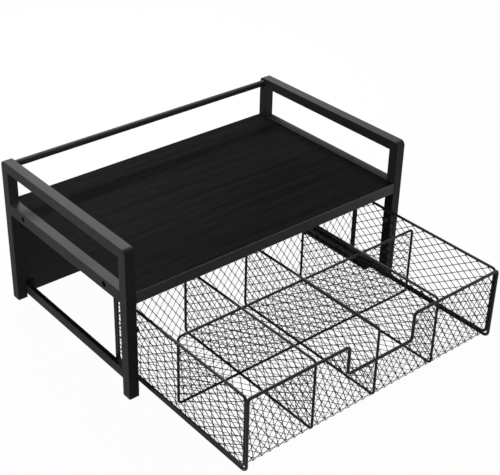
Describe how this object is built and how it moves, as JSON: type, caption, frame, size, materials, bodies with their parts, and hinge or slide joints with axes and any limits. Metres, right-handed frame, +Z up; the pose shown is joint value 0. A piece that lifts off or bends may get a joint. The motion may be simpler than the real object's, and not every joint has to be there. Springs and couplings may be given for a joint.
{
  "type": "tea bag drawer box",
  "caption": "Low square tube rack with a shelf board on top, side openings, a rear panel and a wire mesh drawer divided into compartments that slides out at the front.",
  "frame": {"origin": "centre of the frame's footprint, in the plane of the table", "axes": "+X to the right, -Y to the front where the drawer opens, +Z up"},
  "size_m": [0.4, 0.4181, 0.187],
  "materials": {
    "black_frame_paint": "satin powder coat",
    "black_wire": "satin powder coat on round wire",
    "black_mesh": "powder coated expanded sheet",
    "black_laminate": "matt black laminate with a faint grain",
    "black_plastic": "moulded",
    "screw_steel": "black oxide"
  },
  "bodies": {
    "frame": {"side_frame_left": "black_frame_paint", "side_frame_right": "black_frame_paint", "shelf_rail_left": "black_frame_paint", "shelf_rail_right": "black_frame_paint", "shelf_board": "black_laminate", "back_panel": "black_laminate", "rear_top_rod": "black_frame_paint", "drawer_runner_left": "black_frame_paint", "drawer_runner_right": "black_frame_paint", "glide_strip_left": "black_plastic", "glide_strip_right": "black_plastic", "drawer_keeper_left": "black_frame_paint", "drawer_keeper_right": "black_frame_paint", "side_bumpers": "black_plastic", "shelf_screws": "screw_steel", "panel_tabs": "black_frame_paint", "panel_screws": "screw_steel", "foot_plugs": "black_plastic"},
    "drawer": {"front_hoop": "black_wire", "rear_hoop": "black_wire", "drawer_side_wire_left": "black_wire", "drawer_side_wire_right": "black_wire", "floor_mesh": "black_mesh", "mesh_fold_front": "black_mesh", "mesh_fold_rear": "black_mesh", "front_mesh": "black_mesh", "rear_mesh": "black_mesh", "side_mesh_left": "black_mesh", "side_mesh_right": "black_mesh", "divider_wire_left": "black_wire", "divider_wire_middle": "black_wire", "divider_wire_right": "black_wire", "divider_mesh_left": "black_mesh", "divider_mesh_middle": "black_mesh", "divider_mesh_right": "black_mesh", "cross_divider_wire": "black_wire", "cross_divider_mesh": "black_mesh"}
  },
  "joints": [
    {"name": "drawer_slide", "type": "slide", "parent": "frame", "child": "drawer", "axis": [0, 1, 0], "range_m": [-0.005, 0.17]}
  ]
}
